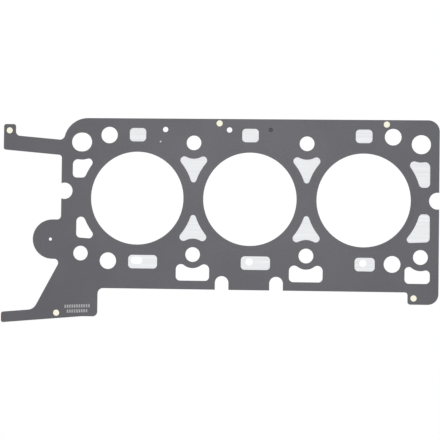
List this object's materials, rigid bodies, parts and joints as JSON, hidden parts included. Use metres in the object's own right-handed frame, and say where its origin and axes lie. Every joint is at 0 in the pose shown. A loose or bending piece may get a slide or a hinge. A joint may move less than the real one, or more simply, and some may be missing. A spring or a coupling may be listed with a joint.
{
  "type": "cylinder head gasket",
  "caption": "Flat layered-steel cylinder head gasket with round bores in a row, coolant windows, bolt holes and timing-cover arms.",
  "frame": {"origin": "on the middle cylinder's axis, in the gasket's lower face, which lies on the engine block", "axes": "+X along the crankshaft away from the timing-cover arms, +Y across the deck towards the row of dowel holes, +Z from the engine block up to the cylinder head"},
  "size_m": [0.3866, 0.1827, 0.001],
  "materials": {
    "coated_steel": "matte",
    "bare_steel": "satin",
    "stopper_steel": "satin",
    "eyelet_brass": "satin"
  },
  "bodies": {
    "root": {"head_side_layer": "coated_steel", "carrier_layer": "bare_steel", "stopper_ring_1": "stopper_steel", "stopper_ring_2": "stopper_steel", "stopper_ring_3": "stopper_steel", "eyelet_1": "eyelet_brass", "eyelet_2": "eyelet_brass", "eyelet_3": "eyelet_brass", "eyelet_4": "eyelet_brass", "eyelet_5": "eyelet_brass"}
  },
  "joints": []
}
